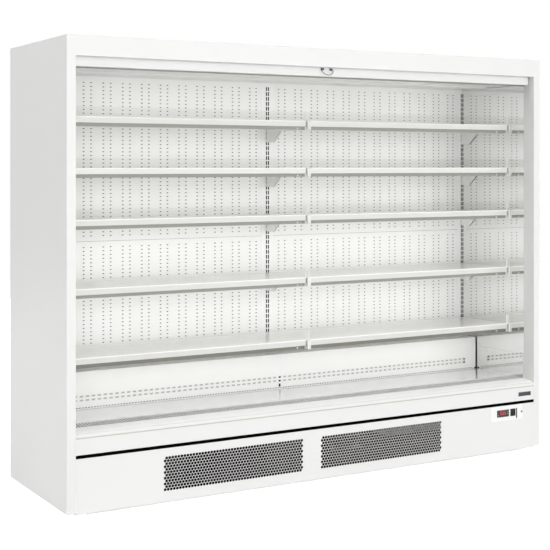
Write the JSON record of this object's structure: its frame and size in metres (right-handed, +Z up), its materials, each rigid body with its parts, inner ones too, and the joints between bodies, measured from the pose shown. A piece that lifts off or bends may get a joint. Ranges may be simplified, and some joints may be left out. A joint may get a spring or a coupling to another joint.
{
  "type": "open multideck display fridge",
  "caption": "Open-fronted multideck display fridge with hooked shelves in two bays, glass risers, mirrored inner side walls, a pull-down night blind and a built-in cooling unit below.",
  "frame": {"origin": "centre of the case on the floor, midway between the end panels and between its front and its back", "axes": "+X to the right of a person facing the open front, +Y from the front into the case, +Z up"},
  "size_m": [2.53, 0.729, 1.97],
  "materials": {
    "white_steel": "smooth powder coat",
    "inner_steel": "smooth powder coat",
    "shelf_steel": "smooth powder coat",
    "galvanised": "galvanised sheet",
    "bumper_plastic": "satin extruded plastic",
    "mirror": "polished liner",
    "riser_glass": "clear with ground edges",
    "blind_aluminium": "anodised",
    "blind_cloth": "coated cloth",
    "handle_wire": "dark plated wire",
    "black_plastic": "satin",
    "key_plastic": "satin",
    "black_paint": "semi-gloss",
    "fin_aluminium": "thin fin sheet",
    "copper": "drawn tube",
    "outlet_plastic": "honeycomb"
  },
  "bodies": {
    "cabinet": {"base_frame": "black_paint", "end_panel_left": "white_steel", "end_panel_right": "white_steel", "rear_wall": "white_steel", "roof_panel": "white_steel", "insulated_tank": "galvanised", "canopy_fascia": "white_steel", "front_fascia": "white_steel", "bumper_rail": "bumper_plastic", "kick_panel": "white_steel", "controller": "black_plastic", "switch_bezel": "black_plastic", "return_air_grille": "inner_steel", "evaporator_covers": "inner_steel", "duct_panels": "inner_steel", "uprights": "inner_steel", "ceiling_panel": "inner_steel", "air_outlet": "outlet_plastic", "mirror_liners": "mirror", "blind_brackets": "galvanised", "condenser": "fin_aluminium", "compressor": "black_paint", "drain_pan": "galvanised", "evaporator_coil": "fin_aluminium", "evaporator_fan_plate": "galvanised", "refrigerant_pipes": "copper"},
    "shelf_1_left": {"shelf_1_left": "shelf_steel", "glass_riser_1_left": "riser_glass"},
    "shelf_1_right": {"shelf_1_right": "shelf_steel", "glass_riser_1_right": "riser_glass"},
    "shelf_2_left": {"shelf_2_left": "shelf_steel", "glass_riser_2_left": "riser_glass"},
    "shelf_2_right": {"shelf_2_right": "shelf_steel", "glass_riser_2_right": "riser_glass"},
    "shelf_3_left": {"shelf_3_left": "shelf_steel", "glass_riser_3_left": "riser_glass"},
    "shelf_3_right": {"shelf_3_right": "shelf_steel", "glass_riser_3_right": "riser_glass"},
    "shelf_4_left": {"shelf_4_left": "shelf_steel", "glass_riser_4_left": "riser_glass"},
    "shelf_4_right": {"shelf_4_right": "shelf_steel", "glass_riser_4_right": "riser_glass"},
    "shelf_5_left": {"shelf_5_left": "shelf_steel", "glass_riser_5_left": "riser_glass"},
    "shelf_5_right": {"shelf_5_right": "shelf_steel", "glass_riser_5_right": "riser_glass"},
    "deck_pan_left": {"deck_pan_left": "inner_steel"},
    "deck_pan_right": {"deck_pan_right": "inner_steel"},
    "blind_rail": {"blind_rail": "blind_aluminium"},
    "blind_roller": {"blind_roller": "blind_aluminium", "blind_fabric": "blind_cloth"},
    "blind_handle": {"blind_handle": "handle_wire"},
    "rocker_left": {"rocker_left": "black_plastic"},
    "rocker_right": {"rocker_right": "black_plastic"},
    "key_up": {"key_up": "key_plastic"},
    "key_down": {"key_down": "key_plastic"},
    "key_set": {"key_set": "key_plastic"},
    "condenser_fan": {"condenser_fan": "black_plastic"},
    "evaporator_fan_left": {"evaporator_fan_left": "black_plastic"},
    "evaporator_fan_right": {"evaporator_fan_right": "black_plastic"}
  },
  "joints": [
    {"name": "shelf_1_left_lift", "type": "slide", "parent": "cabinet", "child": "shelf_1_left", "axis": [0, 0, 1], "range_m": [0, 0.0095]},
    {"name": "shelf_1_right_lift", "type": "slide", "parent": "cabinet", "child": "shelf_1_right", "axis": [0, 0, 1], "range_m": [0, 0.0095]},
    {"name": "shelf_2_left_lift", "type": "slide", "parent": "cabinet", "child": "shelf_2_left", "axis": [0, 0, 1], "range_m": [0, 0.0095]},
    {"name": "shelf_2_right_lift", "type": "slide", "parent": "cabinet", "child": "shelf_2_right", "axis": [0, 0, 1], "range_m": [0, 0.0095]},
    {"name": "shelf_3_left_lift", "type": "slide", "parent": "cabinet", "child": "shelf_3_left", "axis": [0, 0, 1], "range_m": [0, 0.0095]},
    {"name": "shelf_3_right_lift", "type": "slide", "parent": "cabinet", "child": "shelf_3_right", "axis": [0, 0, 1], "range_m": [0, 0.0095]},
    {"name": "shelf_4_left_lift", "type": "slide", "parent": "cabinet", "child": "shelf_4_left", "axis": [0, 0, 1], "range_m": [0, 0.0095]},
    {"name": "shelf_4_right_lift", "type": "slide", "parent": "cabinet", "child": "shelf_4_right", "axis": [0, 0, 1], "range_m": [0, 0.0095]},
    {"name": "shelf_5_left_lift", "type": "slide", "parent": "cabinet", "child": "shelf_5_left", "axis": [0, 0, 1], "range_m": [0, 0.0095]},
    {"name": "shelf_5_right_lift", "type": "slide", "parent": "cabinet", "child": "shelf_5_right", "axis": [0, 0, 1], "range_m": [0, 0.0095]},
    {"name": "deck_pan_left_lift", "type": "slide", "parent": "cabinet", "child": "deck_pan_left", "axis": [0, 0, 1], "range_m": [0, 0.15]},
    {"name": "deck_pan_right_lift", "type": "slide", "parent": "cabinet", "child": "deck_pan_right", "axis": [0, 0, 1], "range_m": [0, 0.15]},
    {"name": "blind_pull", "type": "slide", "parent": "cabinet", "child": "blind_rail", "axis": [0, 0, -1], "range_m": [0, 1.47], "stiffness_N_per_m": 20, "springref_m": -1.5},
    {"name": "blind_roller_turn", "type": "hinge", "parent": "cabinet", "child": "blind_roller", "pos_m": [0, -0.339, 1.924], "axis": [-1, 0, 0], "range_deg": [0, 4820]},
    {"name": "blind_handle_swing", "type": "hinge", "parent": "blind_rail", "child": "blind_handle", "pos_m": [0.005, -0.33, 1.878], "axis": [-1, 0, 0], "range_deg": [-33, 52]},
    {"name": "rocker_left_tilt", "type": "hinge", "parent": "cabinet", "child": "rocker_left", "pos_m": [1.08, -0.3566, 0.2005], "axis": [1, 0, 0], "range_deg": [-12, 0]},
    {"name": "rocker_right_tilt", "type": "hinge", "parent": "cabinet", "child": "rocker_right", "pos_m": [1.095, -0.3566, 0.2005], "axis": [1, 0, 0], "range_deg": [-12, 0]},
    {"name": "key_up_press", "type": "slide", "parent": "cabinet", "child": "key_up", "axis": [0, 1, 0], "range_m": [0, 0.0005], "stiffness_N_per_m": 400, "springref_m": -0.0005},
    {"name": "key_down_press", "type": "slide", "parent": "cabinet", "child": "key_down", "axis": [0, 1, 0], "range_m": [0, 0.0005], "stiffness_N_per_m": 400, "springref_m": -0.0005},
    {"name": "key_set_press", "type": "slide", "parent": "cabinet", "child": "key_set", "axis": [0, 1, 0], "range_m": [0, 0.0005], "stiffness_N_per_m": 400, "springref_m": -0.0005},
    {"name": "condenser_fan_spin", "type": "hinge", "parent": "cabinet", "child": "condenser_fan", "pos_m": [-0.49, -0.209, 0.152], "axis": [0, 1, 0], "continuous": true},
    {"name": "evaporator_fan_left_spin", "type": "hinge", "parent": "cabinet", "child": "evaporator_fan_left", "pos_m": [-0.5, 0.145, 0.397], "axis": [0, 1, 0], "continuous": true},
    {"name": "evaporator_fan_right_spin", "type": "hinge", "parent": "cabinet", "child": "evaporator_fan_right", "pos_m": [0.5, 0.145, 0.397], "axis": [0, 1, 0], "continuous": true}
  ],
  "couplings": [
    {"joint": "blind_roller_turn", "follows": "blind_pull", "rad_per_m": 57.14}
  ]
}
